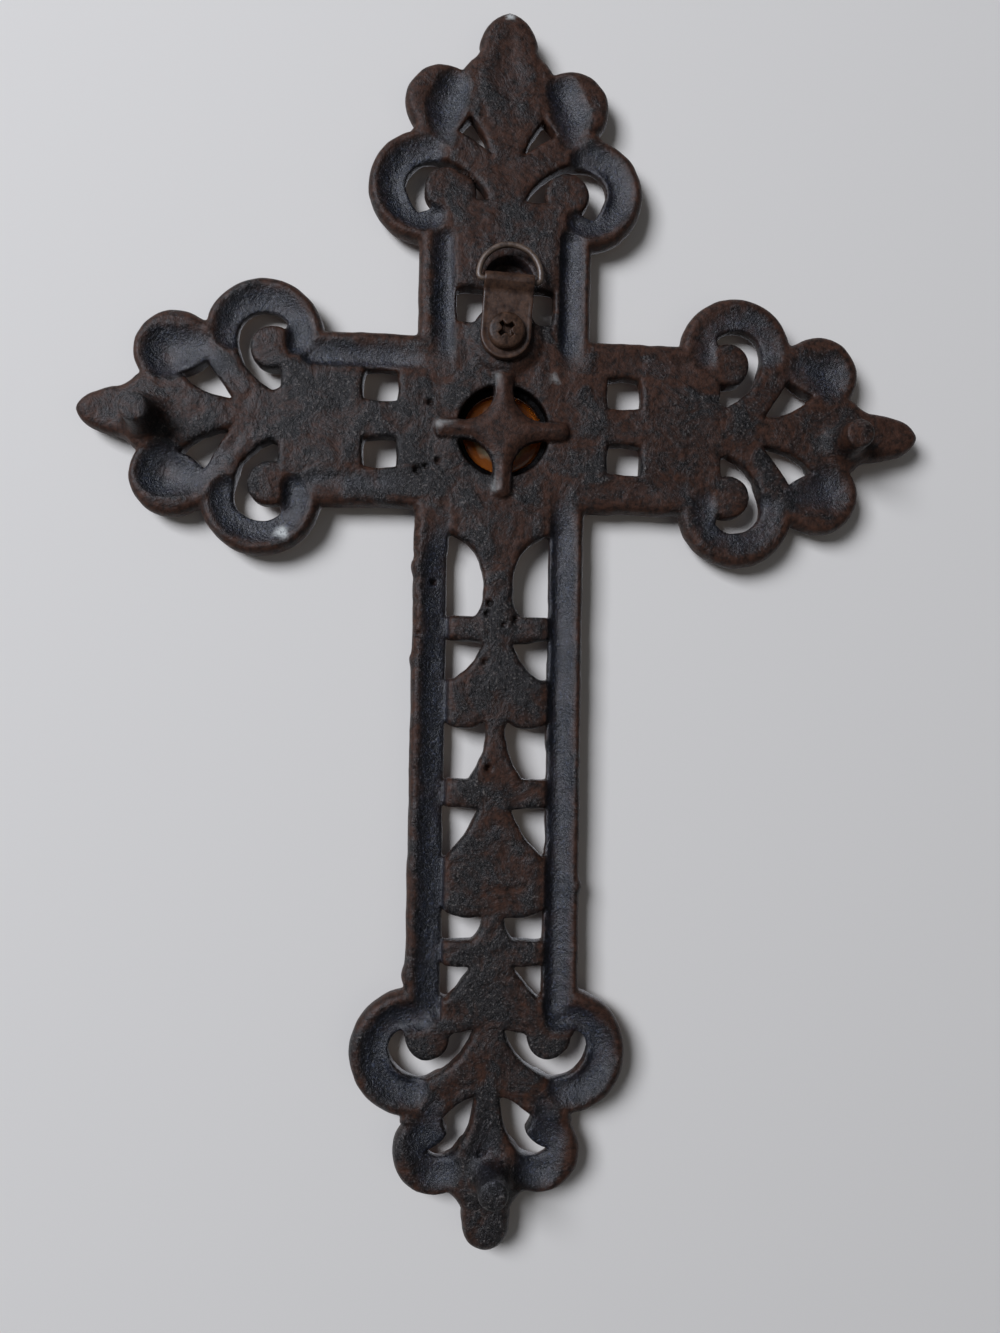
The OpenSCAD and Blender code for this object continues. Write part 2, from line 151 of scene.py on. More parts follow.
# ------------------------------------------------------------------ the casting
# One piece of grey iron, poured in sand: a fretwork plate with its leaves, lobes and gutters
# hollowed from behind, three pegs that stand it off the wall, and the star that bridges the
# stone's recess. It was painted blue-black and rubbed with brown on everything that stands up.
STEP = 0.5                   # grid that the skin is drawn on
ARM_HALF = 21.7
SHAFT_HALF = 21.0
ARM_AXIS_V = 2.2
SHAFT_AXIS_U = -0.5
FOOT_AXIS_U = -1.1
TOP_REACH = 62.3
SIDE_REACH = 59.3
FOOT_REACH = 152
PLATE_T = 5.5
FLARE = 0.35                 # how far the front edge stands out past the back rim
BEAD_H = 2.0
BEAD_W = 8.0
EDGE_ROUND = 2.4
OPENING_ROUND = 1.5
OPENING_DRAFT = 0.12
PEGS = [[-87.3, 0], [87.3, 0], [0, -181]]
PEG_H = 8.95
PEG_R = 3.5
PEG_TAPER = 0.5
SCREW_AT = [0.1, 23.7]
STRAP_TURN = math.radians(3)
BOSS_R = 8.3
BOSS_H = 0.8
FAT_CURL = [-12.8, 60.6, 5.2]         # one curl of the top end was cast fatter
NAIL_PIT_OUT = 14.4          # from the screw, up the strap
NAIL_PIT_R = 6.1
NAIL_PIT_FLAT = 13.4         # where its straight side lies
NAIL_PIT_DEPTH = 3.9
BEZEL_R = 12.6               # the raised ring round the stone, to its middle
BEZEL_HALF = 2.1
BEZEL_H = 2.2
WELL_R = 11.5                # opening behind the stone, down to the ledge it is glued on
LEDGE_R = 10.0
LEDGE_W = -3.0
POCKET_R = 10.65             # the stone's pocket in the front
STAR_TOP_W = 1.75
STAR_UNDER_W = -2.1
STAR_NECK = [11, 2.5]        # distance out, half width
CASTING_TRIANGLES = 190000

# Each end along its own axis x with its big lobes' centres at x = 0: big lobe radius, its
# distance off the axis, small lobe [x, y, radius], spine, leaf opening, scroll opening
TOP_END = [14.5, 20.2, [22.3, 16.4, 9.5],
           [[46.2, 0, 1.4], [39.5, 7.0, 0.2], [36.8, 7.3, -0.5], [33.3, 9.9, 0],
            [31.4, 11.2, 0], [22.3, 16.4, 0], [14.3, 24.3, 0], [0, 20.2, 0], [-12, 15, 0]],
           [[8.5, 4, 0.5], [18.3, 9.2, 0.2], [14.1, 12.2, -0.3]],
           [[-3.2, 4.8, 2.0], [7, 17.6, 2.2], [0, 25.5, 0.6], [-6.4, 22.4, 0.2],
            [-5.3, 18.9, -8.9], [-3.2, 10, 0]]]
SIDE_END = [14.5, 20.4, [21.7, 15.75, 10],
            [[46.2, 0, 0.9], [41.4, 4.8, 0.3], [34.7, 6.3, -0.4], [31.1, 8.9, 0],
             [21.7, 15.75, 0], [15.7, 23.8, 0], [0, 20.4, 0], [-12, 15, 0]],
            [[7.1, 3.7, 1.3], [19.9, 10, -0.4], [13.8, 13.7, 0]],
            [[-2.3, 6.5, 1.9], [6.7, 18.3, 2.7], [-0.5, 26.6, 0.6], [-5.1, 24.2, 0],
             [-4.7, 22.3, -7.6], [-4, 12, 0], [-4.3, 7.3, 0.2]]]
FOOT_END = [14.9, 18.5, [23.5, 12.7, 9.8],
            [[46.5, 0, 1.6], [40.8, 5.5, 0.2], [37, 5.7, -0.5], [32.7, 9.3, 0],
             [33.1, 12.5, 0], [23.5, 12.7, 0], [16.5, 20.8, 0], [0, 18.5, 0], [-13, 15, 0]],
            [[10.2, 3, 1.4], [24.1, 8.2, 1.2], [23.4, 14.6, -0.9], [19, 9.5, 0.2],
             [15.5, 10.9, 0.8]],
            [[-5.5, 3.6, 2.0], [6.2, 15, 2.3], [-1, 24.3, 0.8], [-5, 21, 0], [-3.7, 20, -5.3],
             [-3.7, 9.4, 0.4], [-4.7, 7, 0]]]
# Openings of the shaft right of its centre line, from the top down
SHAFT_OPENINGS = [
    [[5.7, -46.3, 0], [12.6, -46.1, 0], [12.6, -26.6, 0.2], [11.8, -25.9, 3], [3.7, -40, 0.8]],
    [[12.5, -61.8, 0], [12.6, -52, 0], [3.9, -52.9, 0.1], [3.9, -53.8, 0.7], [10.3, -61.7, 0]],
    [[6.6, -86.3, 0], [12.6, -86.3, 0], [12.5, -72.6, -1.5], [2.9, -72.3, 0.2],
     [2.3, -75.5, 0.8]],
    [[12.6, -104.8, 0], [12.6, -93.2, 0.1], [4, -93.5, 0.1], [4.1, -94.3, 0.7],
     [11.8, -105.4, 0]],
    [[5, -125.1, 0], [12.2, -125.3, 0], [12.3, -118, -0.9], [2.8, -119.6, 0.1],
     [2.8, -121, 0.5]],
    [[12.4, -138.4, 0], [12.4, -131.2, 0], [5.4, -131.6, 0.2], [6.2, -133.5, 0.3],
     [11, -139, 0]]]
ARM_OPENING = [[26.5, 4.8, 0.3], [34.6, 5.2, 0.4], [34.4, 12.4, 0.3], [26.4, 12.2, 0.3]]

# Troughs of one end, as strokes of circles [x, y, r, depth]. RING goes round the big lobe, and
# is deepest on its inner side.
RING_LEAN = 0.35
RING = [[9.1 * math.cos(math.radians(a)), 9.1 * math.sin(math.radians(a)), 3.7, 2.9]
        for a in range(-5, 195, 15)]
TOP_HOLLOWS = [[[25.4, 13.9, 4.7, 3.0], [20, 15.9, 5.6, 3.0], [13, 16.4, 3.8, 1.6]],
               [[37, 0, 3.8, 0.6], [28, 0, 7.2, 0.9], [18, 0, 5.0, 0.4]]]
SIDE_HOLLOWS = [[[23.0, 14.9, 7.2, 3.9], [17.0, 16.2, 5.6, 2.6], [11, 12.6, 3.4, 1.3],
                 [5.5, 6.8, 2.2, 0.7]]]
FOOT_HOLLOWS = [[[27, 12, 6.0, 2.9], [20, 14.3, 5.8, 2.5], [12, 13, 3.0, 1.3]],
                [[8, 0, 2.2, 0.4], [19, 0, 3.4, 1.0], [24.5, 0, 5.5, 1.5]]]
# Ends: pattern, troughs, share of their depth, how much further the tip stands out, and the
# seat: distance out, turn in degrees, middle [u, v], share of the pattern's width
ENDS = [[TOP_END, TOP_HOLLOWS, 1.0, 0, [TOP_REACH, 90, [0, 0], 1.0]],
        [SIDE_END, SIDE_HOLLOWS, 0.55, 1.1, [SIDE_REACH, 0, [0, ARM_AXIS_V], 0.98]],
        [SIDE_END, SIDE_HOLLOWS, 1.0, -1.5, [SIDE_REACH, 180, [0, ARM_AXIS_V], 0.98]],
        [FOOT_END, FOOT_HOLLOWS, 0.95, 0, [FOOT_REACH, -90, [FOOT_AXIS_U, 0], 1.0]]]
ARM_SEATS = [[0, 0, [0, ARM_AXIS_V], 0.97], [0, 180, [0, ARM_AXIS_V], 0.97],
             [0, 90, [0, 1.2], 0.97]]
# Straight gutters: from, to, half width, depth, lean; each comes to its depth over RUN_IN
RUN_IN = 10
GUTTERS = [[[15.6, -16], [15.6, -141], 3.6, 3.2, -0.25],
           [[-16.4, -22], [-16.4, -141], 3.6, 3.2, 0.8],
           [[16.8, 16], [17.0, 49], 3.3, 3.0, 0.25], [[-15.2, 16], [-15.8, 48], 3.1, 2.6, -0.3],
           [[-18, 18.0], [-47, 18.2], 3.5, 2.4, 0.3], [[-20, -13.6], [-46, -14], 3.0, 1.2, 0.0],
           [[22, 17.6], [46, 17.6], 2.8, 0.8, 0.0], [[22, -13.8], [46, -14], 2.6, 0.9, 0.0]]
# Lumps where the sand broke away along the shaft's edges: place, radius
EDGE_LUMPS = [[-20.0, -34, 1.9], [-20.4, -57, 1.4], [-20.1, -134, 1.9], [19.6, -112, 1.3]]
# Places where the paint is off or rubbed thin, and painted highlights in the same pale grey on the
# star's left tip and top and bottom points: place, radius, share
CHIPS_AND_HIGHLIGHTS = [[-54, -26.5, 1.3, 1.0], [-53.2, -27.4, 0.9, 1.0], [0.2, 106.6, 0.9, 1.0],
         [12.5, 14, 0.5, 1.0], [-15.8, 1.0, 1.1, 0.35], [-1.7, -14.3, 1.0, 0.4],
         [-1.5, 13.4, 0.8, 0.25]]
# Blow holes: place, radius, depth
BLOW_HOLES = [[-18.2, 6.5, 0.8, 1.6], [-21, -10.5, 1.2, 1.6], [-19, -9.5, 0.7, 1.2],
              [-16, -8, 0.8, 1.5], [-16.5, -38, 0.9, 1.5], [-20, -51, 0.8, 1.3],
              [-2.6, -43, 0.9, 1.6], [-3.2, -45.6, 0.7, 1.4], [3.8, -46.8, 0.8, 1.5],
              [1, -48.3, 0.6, 1.2], [-3.5, -57.5, 0.7, 1.3], [-2.2, -83.5, 0.9, 1.6],
              [-21, -24, 0.9, 1.3], [-20.8, -28, 0.7, 1.2], [-21.3, -31.5, 1.0, 1.4],
              [-20.9, -37, 0.8, 1.2], [-21.2, -43, 0.9, 1.3], [-20.7, -48, 0.7, 1.1],
              [-21.1, -56, 0.9, 1.2]]


def bowed(corners, arc_step=12):
    """The corners [x, y, bow] as points: the side after a corner bows out as a true arc."""
    points = []
    for here, after in zip(corners, corners[1:] + corners[:1]):
        a = np.array(here[:2], float)
        b = np.array(after[:2], float)
        bow = here[2]
        chord = math.hypot(*(b - a))
        along = (b - a) / chord
        out = np.array([along[1], -along[0]])
        if abs(bow) < 0.01:
            points.append(a)
            continue
        radius = (chord * chord / 4 + bow * bow) / (2 * bow)
        half = 2 * math.atan(2 * bow / chord)
        n = max(2, math.ceil(math.degrees(abs(half)) * 2 / arc_step))
        for i in range(n):
            q = -half + 2 * half * i / n
            points.append((a + b) / 2 + out * (bow - radius)
                          + radius * (out * math.cos(q) + along * math.sin(q)))
    return np.array(points)


def both_sides(corners):
    """A half outline from the tip back, closed by its mirror image below the axis."""
    n = len(corners) - 1
    return corners + [[corners[i][0], -corners[i][1], corners[i - 1][2]] for i in range(n, 0, -1)]


def seated(points, seat, side=1):
    """Points of a pattern's own axes as points of the cross; side -1 mirrors them first."""
    out, degrees, middle, width = seat
    turn = math.radians(degrees)
    x = points[:, 0] + out
    y = points[:, 1] * side * width
    return np.stack([middle[0] + x * math.cos(turn) - y * math.sin(turn),
                     middle[1] + x * math.sin(turn) + y * math.cos(turn)], -1)


def smooth_max(a, b, k):
    """The larger of two fields, rounded over k where they meet."""
    near = np.maximum(k - np.abs(a - b), 0) / k
    return np.maximum(a, b) + near * near * (k / 4)


def smooth_min(a, b, k):
    """The smaller of two fields, rounded over k where they meet."""
    return -smooth_max(-a, -b, k)


def ramp(x, low, high):
    """0 below low, 1 above high, and a smooth rise between."""
    t = np.clip((x - low) / (high - low), 0, 1)
    return t * t * (3 - 2 * t)


class Sheet:
    """A flat grid of millimetre places (u, v) that distances and heights are worked out on."""

    def __init__(self, low, high, step):
        self.low, self.step = low, step
        self.u_line = np.arange(low[0], high[0] + step / 2, step, dtype=np.float32)
        self.v_line = np.arange(low[1], high[1] + step / 2, step, dtype=np.float32)
        self.u, self.v = np.meshgrid(self.u_line, self.v_line, indexing="ij")

    def window(self, points, reach):
        """The part of the grid within reach of some points."""
        low = np.floor((points.min(0) - reach - self.low) / self.step).astype(int)
        high = np.ceil((points.max(0) + reach - self.low) / self.step).astype(int) + 1
        return np.s_[max(low[0], 0):max(high[0], 0), max(low[1], 0):max(high[1], 0)]

    def circle(self, u, v, r):
        """Distance to a circle, negative inside."""
        return np.hypot(self.u - u, self.v - v) - r

    def rectangle(self, u0, u1, v0, v1):
        """Distance to a rectangle between two u and two v, negative inside."""
        du = np.abs(self.u - (u0 + u1) / 2) - (u1 - u0) / 2
        dv = np.abs(self.v - (v0 + v1) / 2) - (v1 - v0) / 2
        return np.hypot(np.maximum(du, 0), np.maximum(dv, 0)) + np.minimum(np.maximum(du, dv), 0)

    def polygon(self, points, reach=9.0):
        """Distance to a closed outline, negative inside, and reach wherever that is far."""
        field = np.full(self.u.shape, reach, np.float32)
        part = self.window(points, reach)
        u, v = self.u[part], self.v[part]
        nearest = np.full(u.shape, 1e9, np.float32)
        inside = np.zeros(u.shape, bool)
        for a, b in zip(points, np.roll(points, -1, 0)):
            e = b - a
            t = np.clip(((u - a[0]) * e[0] + (v - a[1]) * e[1]) / (e @ e), 0, 1)
            nearest = np.minimum(nearest, (u - a[0] - t * e[0]) ** 2 + (v - a[1] - t * e[1]) ** 2)
            if a[1] != b[1]:
                crosses = ((a[1] > v) != (b[1] > v)) & (u < a[0] + (v - a[1]) * e[0] / e[1])
                inside ^= crosses
        field[part] = np.minimum(np.where(inside, -1, 1) * np.sqrt(nearest), reach)
        return field

    def trough(self, circles, lean=0.0, reach=3.0):
        """How deep a trough is that runs through circles [u, v, r, depth], and how far off.

        Its bottom lies lean of the way from its middle to the edge on its left.
        """
        circles = np.asarray(circles, float)
        field = np.full(self.u.shape, reach, np.float32)
        deep = np.zeros(self.u.shape, np.float32)
        part = self.window(circles[:, :2], reach + circles[:, 2].max())
        u, v = self.u[part], self.v[part]
        for a, b in zip(circles, circles[1:]):
            e = b - a
            span = math.hypot(e[0], e[1])
            along = ((u - a[0]) * e[0] + (v - a[1]) * e[1]) / span
            left = (e[0] * (v - a[1]) - e[1] * (u - a[0])) / span
            t = np.clip(along / span, 0, 1)
            past = along - t * span
            r = a[2] + t * e[2]
            side = left / (r + 0.5)
            off = np.where(side < lean, (lean - side) / (1 + lean), (side - lean) / (1 - lean))
            level = 1 - off ** 2 - (past / (r + 0.5)) ** 2
            deep[part] = np.maximum(deep[part], (a[3] + t * e[3]) * np.maximum(level, 0))
            field[part] = np.minimum(field[part], np.hypot(left, past) - r)
        return deep, field

    def lumps(self, size, seed):
        """Smooth random heights from about -1 to 1, with lumps size millimetres across."""
        rng = np.random.default_rng(seed)
        x = (self.u - self.low[0]) / size
        y = (self.v - self.low[1]) / size
        i, j = x.astype(int), y.astype(int)
        knots = rng.uniform(-1, 1, (int(x.max()) + 2, int(y.max()) + 2)).astype(np.float32)
        a, b = ramp(x - i, 0, 1), ramp(y - j, 0, 1)
        return ((knots[i, j] * (1 - a) + knots[i + 1, j] * a) * (1 - b)
                + (knots[i, j + 1] * (1 - a) + knots[i + 1, j + 1] * a) * b)

    def at(self, field, u, v):
        """A field's values at places between the grid's own."""
        x = np.clip((u - self.low[0]) / self.step, 0, len(self.u_line) - 1.001)
        y = np.clip((v - self.low[1]) / self.step, 0, len(self.v_line) - 1.001)
        i, j = x.astype(int), y.astype(int)
        a, b = x - i, y - j
        return ((field[i, j] * (1 - a) + field[i + 1, j] * a) * (1 - b)
                + (field[i, j + 1] * (1 - a) + field[i + 1, j + 1] * a) * b)


def skin(field, low, step):
    """The closed surface where a 3-D field turns from negative to positive, as (points, quads)."""
    inside = field < 0
    shape = np.array(field.shape) - 1
    corners = [(a, b, c) for a in (0, 1) for b in (0, 1) for c in (0, 1)]
    count = np.zeros(shape, np.int8)
    for a, b, c in corners:
        count += inside[a:a + shape[0], b:b + shape[1], c:c + shape[2]]
    i, j, k = np.nonzero((count > 0) & (count < 8))
    number = np.full(shape, -1, np.int32)
    number[i, j, k] = np.arange(len(i))
    total = np.zeros((len(i), 3), np.float32)
    crossed = np.zeros(len(i), np.float32)
    for axis in range(3):
        for start in corners:
            if start[axis]:
                continue
            end = list(start)
            end[axis] = 1
            f0 = field[i + start[0], j + start[1], k + start[2]]
            f1 = field[i + end[0], j + end[1], k + end[2]]
            cut = (f0 < 0) != (f1 < 0)
            t = np.where(cut, f0 / np.where(cut, f0 - f1, 1), 0)
            spot = np.repeat(np.array([start], np.float32), len(i), 0)
            spot[:, axis] = t
            total += spot * cut[:, None]
            crossed += cut
    points = (np.stack([i, j, k], -1) + total / crossed[:, None]) * step + np.array(low)
    quads = []
    for axis in range(3):
        first = [slice(1, n) for n in shape]
        first[axis] = slice(0, shape[axis])
        second = list(first)
        second[axis] = slice(1, shape[axis] + 1)
        one, two = inside[tuple(first)], inside[tuple(second)]
        b, c = [x for x in range(3) if x != axis]
        for change, flip in ((one & ~two, axis == 1), (~one & two, axis != 1)):
            at = np.stack(np.nonzero(change), -1)
            at += np.array([0 if x == axis else 1 for x in range(3)])
            ring = []
            for db, dc in ((1, 1), (0, 1), (0, 0), (1, 0)):
                cell = at.copy()
                cell[:, b] -= db
                cell[:, c] -= dc
                ring.append(number[cell[:, 0], cell[:, 1], cell[:, 2]])
            quads.append(np.stack(ring[::-1] if flip else ring, -1))
    return points, np.concatenate(quads)


def mesh_from(name, points, quads):
    """A mesh object in the row frame from points (u, v, w) and quads."""
    mesh = bpy.data.meshes.new(name)
    mesh.vertices.add(len(points))
    mesh.vertices.foreach_set("co", to_row(points).astype(np.float32).ravel())
    mesh.loops.add(quads.size)
    mesh.loops.foreach_set("vertex_index", quads.astype(np.int32).ravel())
    mesh.polygons.add(len(quads))
    mesh.polygons.foreach_set("loop_start", np.arange(0, quads.size, 4, dtype=np.int32))
    mesh.update(calc_edges=True)
    mesh.validate()
    made = bpy.data.objects.new(name, mesh)
    bpy.context.scene.collection.objects.link(made)
    return made


def thinned(piece, triangles):
    """The piece with its mesh brought down to about that many triangles."""
    count = sum(len(p.vertices) - 2 for p in piece.data.polygons)
    thin = piece.modifiers.new("thin", "DECIMATE")
    thin.ratio = min(1.0, triangles / count)
    evaluated = piece.evaluated_get(bpy.context.evaluated_depsgraph_get())
    mesh = bpy.data.meshes.new_from_object(evaluated)
    piece.modifiers.clear()
    old = piece.data
    piece.data = mesh
    bpy.data.meshes.remove(old)
    mesh.name = piece.name
    mesh.shade_smooth()
    return piece


sheet = Sheet((-108.0, -202.0), (108.0, 112.0), STEP)

outline = sheet.rectangle(-ARM_HALF, ARM_HALF, 0, TOP_REACH)
outline = smooth_min(outline, sheet.rectangle(-SIDE_REACH, SIDE_REACH, ARM_AXIS_V - ARM_HALF,
                                              ARM_AXIS_V + ARM_HALF), 1.0)
outline = smooth_min(outline, sheet.rectangle(SHAFT_AXIS_U - SHAFT_HALF, SHAFT_AXIS_U + SHAFT_HALF,
                                              -FOOT_REACH, 0), 1.0)
fret = np.full(sheet.u.shape, 9.0, np.float32)        # distance to the nearest opening
hollows = []                                           # depth and distance of every trough
for (lobe_r, lobe_off, small, spine, leaf, scroll), strokes, share, tip_more, seat in ENDS:
    spine = [[x + (tip_more if i < 2 else 0), y, bow] for i, (x, y, bow) in enumerate(spine)]
    outline = smooth_min(outline, sheet.polygon(seated(bowed(both_sides(spine)), seat)), 0.8)
    for side in (1, -1):
        for x, y, r in ([0, lobe_off, lobe_r], small):
            at = seated(np.array([[x, y]]), seat, side)[0]
            outline = smooth_min(outline, sheet.circle(at[0], at[1], r), 0.8)
        for opening in (leaf, scroll):
            fret = np.minimum(fret, sheet.polygon(seated(bowed(opening), seat, side)))
        ring = [[x, y + lobe_off, r, depth] for x, y, r, depth in RING]
        for stroke, lean in [[ring, RING_LEAN * side]] + [[s, 0.0] for s in strokes]:
            stroke = np.array(stroke, float)
            at = np.column_stack([seated(stroke[:, :2], seat, side), stroke[:, 2],
                                  stroke[:, 3] * share])
            hollows.append(sheet.trough(at, lean))
for corners in SHAFT_OPENINGS:
    for side in (1, -1):
        points = bowed(corners) * [side, 1] + [SHAFT_AXIS_U, 0]
        fret = np.minimum(fret, sheet.polygon(points))
for seat in ARM_SEATS:
    for side in (1, -1):
        fret = np.minimum(fret, sheet.polygon(seated(bowed(ARM_OPENING), seat, side)))
for start, stop, half, depth, lean in GUTTERS:
    start, stop = np.array(start), np.array(stop)
    full = start + (stop - start) * RUN_IN / np.hypot(*(stop - start))
    hollows.append(sheet.trough([[*start, half, depth * 0.25], [*full, half, depth],
                                 [*stop, half, depth]], lean))
for u, v, r in EDGE_LUMPS:
    outline = smooth_min(outline, sheet.circle(u, v, r), 1.6)

rough_edge = sheet.lumps(7, 1) * 0.16 + sheet.lumps(2.5, 2) * 0.12
outline = outline + 0.15 + rough_edge
fret = fret + sheet.lumps(6, 9) * 0.18 + sheet.lumps(2.4, 3) * 0.14
boss = sheet.circle(*SCREW_AT, BOSS_R)
fret = np.maximum(fret, -boss + 0.2)
fret = np.maximum(fret, -sheet.circle(*FAT_CURL))

# The back: dished hollows, the pit for the nail's head, the boss under the strap, blow holes
# and the sand's texture
back = np.zeros(sheet.u.shape, np.float32)
for depth, _ in hollows:
    back = smooth_min(back, -depth, 0.6)
back += sheet.lumps(13, 4) * 0.2 + sheet.lumps(4.5, 5) * 0.16 + sheet.lumps(1.7, 6) * 0.1
strap_up = np.array([math.sin(STRAP_TURN), math.cos(STRAP_TURN)])
eye = np.array(SCREW_AT) + strap_up * NAIL_PIT_OUT
nail_pit = np.maximum(sheet.circle(eye[0], eye[1], NAIL_PIT_R),
                      NAIL_PIT_FLAT - (sheet.u - SCREW_AT[0]) * strap_up[0]
                      - (sheet.v - SCREW_AT[1]) * strap_up[1])
back = np.where(nail_pit < 0.5, back - NAIL_PIT_DEPTH * ramp(-nail_pit, -0.3, 0.5), back)
boss_top = (BOSS_H + 0.02) - 2.0 * ramp(boss, -0.8, 3.0) - 7 * ramp(boss, 0.8, 8)
back = smooth_max(back, boss_top, 0.5)
for u, v, r, depth in BLOW_HOLES:
    back -= depth * ramp(-sheet.circle(u, v, r * 0.8), -0.5, 0.5)
slope_u, slope_v = np.gradient(back, STEP)
back_slope = np.sqrt(1 + slope_u ** 2 + slope_v ** 2)

# The front: a half round moulding along the edge, a bezel round the stone, a little uneven
from_edge = FLARE - outline
front = -PLATE_T - BEAD_H * np.sqrt(np.clip(1 - (from_edge / BEAD_W * 2 - 1) ** 2, 0, 1))
centre = np.hypot(sheet.u, sheet.v)
bezel = np.sqrt(np.clip(1 - ((centre - BEZEL_R) / BEZEL_HALF) ** 2, 0, 1))
front = np.minimum(front, -PLATE_T - BEZEL_H * bezel)
front += sheet.lumps(9, 7) * 0.08

LAYERS = np.arange(-9.0, 10.01, STEP, dtype=np.float32)
solid = np.empty(sheet.u.shape + (len(LAYERS),), np.float32)
# The star's four points, from the right one round: length, half width of the tip
STAR_POINTS = [[15.6, 2.3], [13.9, 2.6], [16.2, 2.2], [16.1, 2.2]]
star_points = []
for quarter, (reach, half) in enumerate(STAR_POINTS):
    turn = math.pi / 2 * quarter
    outward = np.array([math.cos(turn), math.sin(turn)])
    across = np.array([-outward[1], outward[0]])
    for far, off, bow in ((STAR_NECK[0], -STAR_NECK[1], 0), (reach, -half, 0.9),
                          (reach, half, 0), (STAR_NECK[0], STAR_NECK[1], -3.0)):
        star_points.append(list(outward * far + across * off) + [bow])
star = sheet.polygon(bowed(star_points))
star_top = STAR_TOP_W - 1.5 * (1 - np.clip(-star / 3.4, 0, 1)) ** 2     # half round points
pegs = np.minimum.reduce([sheet.circle(u, v, 0) for u, v in PEGS])
for k, w in enumerate(LAYERS):
    flare = FLARE * ramp(-w, 0.3, 4.5)
    plate = smooth_max((w - back) / back_slope, front - w, 0.7)
    plate = smooth_max(plate, outline - flare, EDGE_ROUND)
    plate = smooth_max(plate, -fret + OPENING_DRAFT * w / PLATE_T, OPENING_ROUND)
    plate = smooth_max(plate, -np.maximum(centre - WELL_R, LEDGE_W - w), 0.6)
    plate = np.maximum(plate, LEDGE_R - centre)
    plate = np.maximum(plate, -np.maximum(centre - POCKET_R, w - STONE_BACK))
    bridge = smooth_max(smooth_max(star, w - star_top, 0.5), STAR_UNDER_W - w, 0.5)
    plate = smooth_min(plate, bridge, 0.6)
    if w > -1.5:
        peg = smooth_max(pegs - PEG_R - PEG_TAPER * (1 - w / PEG_H), w - PEG_H, 0.7)
        plate = smooth_min(plate, peg, 4.0)
    solid[:, :, k] = plate
points, quads = skin(solid, (sheet.low[0], sheet.low[1], LAYERS[0]), STEP)
casting = mesh_from("iron_casting", points, quads)
thinned(casting, CASTING_TRIANGLES)
mesh = casting.data
co = np.empty(len(mesh.vertices) * 3, np.float32)
mesh.vertices.foreach_get("co", co)
co = co.reshape(-1, 3) * 1000
# Maps for the paint: in a hollow, with painted shade and a painted reflection of the sky; standing
# up; less brown toward the window, a painted reflection of it; chipped off, and painted highlights;
# and painted shade in the stone's well
at_u = star_x * 1000 - co[:, 0]
at_v = co[:, 2] - star_z * 1000
at_back = ramp(co[:, 1] - rim_y * 1000, -4.5, -3.0)
# In a hollow and in the nail's pit the iron is painted darker and bluer. This is painted shade and a
# painted reflection of the sky over the blue-black paint. The brown is also kept off there, and the
# shine is raised.
hollow_map = np.max([ramp(depth, 0.3, 2.2) for depth, _ in hollows], 0)
hollow_map = np.maximum(hollow_map, ramp(-nail_pit, -0.6, 0.4))
ridge_map = np.maximum(ramp(-np.abs(np.min([far for _, far in hollows], 0) - 0.9), -1.3, -0.2),
                       ramp(outline, -3.2, -1.2))
on_star = ramp(-star, -0.6, 0.2)
ridge_map = np.maximum(ridge_map, 1.7 * ramp(-star, 0.3, 1.2))
hollow_map = hollow_map * (1 - on_star)
# Painted shade: the wall and ledge of the stone's well are painted near black and their shine is
# turned down, except on the star
shade_map = ramp(11.9 - centre, -0.2, 0.3) * (1 - on_star)
# This map takes the brown off toward the left, where the window is, as a painted reflection of the
# window. It also takes it off toward the foot, with random patches.
window_sheen_and_tone_map = np.clip(0.45 - sheet.u / 300 - (sheet.v + 30) / 450 + sheet.lumps(16, 8) * 0.3, 0, 1)
# Chips of bare pale grey metal, and the same grey as painted highlights on the star's left tip and
# top and bottom points
chip_and_highlight_map = np.max([share * ramp(-sheet.circle(u, v, r), -0.5, 0.5) for u, v, r, share in CHIPS_AND_HIGHLIGHTS],
                  0)
for name, field in (("hollow", hollow_map), ("ridge", ridge_map), ("window_sheen_and_tone", window_sheen_and_tone_map),
                    ("chip_and_highlight", chip_and_highlight_map), ("shade", shade_map)):
    layer = mesh.attributes.new(name, "FLOAT", "POINT")
    layer.data.foreach_set("value", (sheet.at(field, at_u, at_v) * at_back).astype(np.float32))

# Cast iron under worn paint: glossy blue-black paint with a sandy skin, rubbed through to a
# smooth matt brown in patches of 5 to 15 mm and wherever the casting stands up
iron, tree, out = new_material("painted_cast_iron")
where = add(tree, "ShaderNodeTexCoord").outputs["Object"]
hollow, ridge, window_sheen_and_tone, chip_and_highlight, shade = [
    add(tree, "ShaderNodeAttribute", attribute_name=name).outputs["Fac"]
    for name in ("hollow", "ridge", "window_sheen_and_tone", "chip_and_highlight", "shade")]
patches, mottle, grain = [
    add(tree, "ShaderNodeTexNoise", {"Vector": where, "Scale": 1000 / size_mm, "Detail": detail,
                                     "Roughness": rough, "Distortion": bent}).outputs["Fac"]
    for size_mm, detail, rough, bent in ((9.0, 6.0, 0.62, 0.6), (1.5, 5.0, 0.72, 0.0),
                                         (0.65, 3.0, 0.75, 0.0))]
worn = patches
for part, share in ((ridge, 0.13), (window_sheen_and_tone, -0.2), (mottle, 0.12), (grain, 0.08)):
    worn = add(tree, "ShaderNodeMath", {0: part, 1: share, 2: worn},
               operation="MULTIPLY_ADD").outputs[0]
